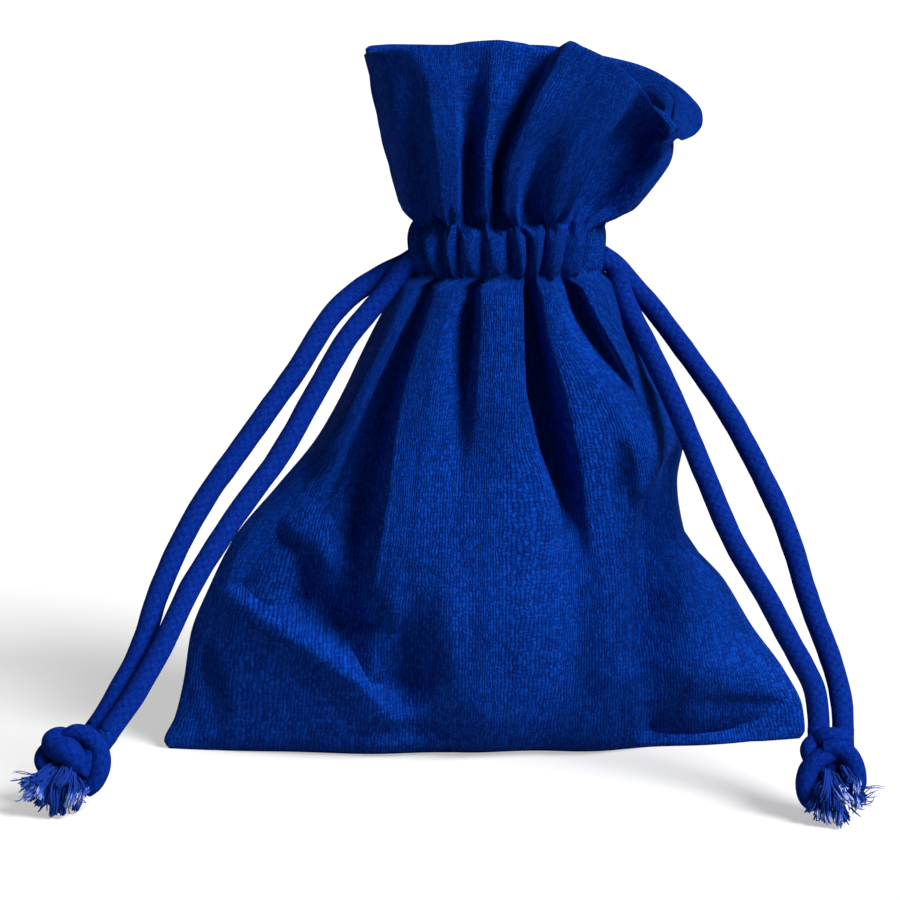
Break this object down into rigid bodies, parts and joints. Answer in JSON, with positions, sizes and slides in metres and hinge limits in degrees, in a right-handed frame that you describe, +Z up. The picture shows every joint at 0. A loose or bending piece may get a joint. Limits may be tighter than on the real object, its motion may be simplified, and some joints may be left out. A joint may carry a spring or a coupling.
{
  "type": "drawstring pouch",
  "caption": "Small soft cotton pouch with a gathered casing, a flared header above it and knotted drawcords drawn out at each side.",
  "frame": {"origin": "middle of the cloth's bottom, on the surface that the pouch stands on", "axes": "+Z up through the mouth, +X to the right in the front view, +Y to the back"},
  "size_m": [0.1254, 0.0731, 0.1115],
  "materials": {
    "cotton_cloth": "coarse plain-weave cotton, royal blue, matt",
    "cotton_cord": "smooth tubular cotton braid, royal blue, matt, frayed to pale tips at the knots"
  },
  "bodies": {
    "root": {"pouch_cloth": "cotton_cloth", "left_cord_in_casing": "cotton_cord", "right_cord_in_casing": "cotton_cord", "left_cord_outer": "cotton_cord", "left_cord_inner": "cotton_cord", "right_cord_outer": "cotton_cord", "right_cord_inner": "cotton_cord", "left_knot": "cotton_cord", "right_knot": "cotton_cord"}
  },
  "joints": []
}
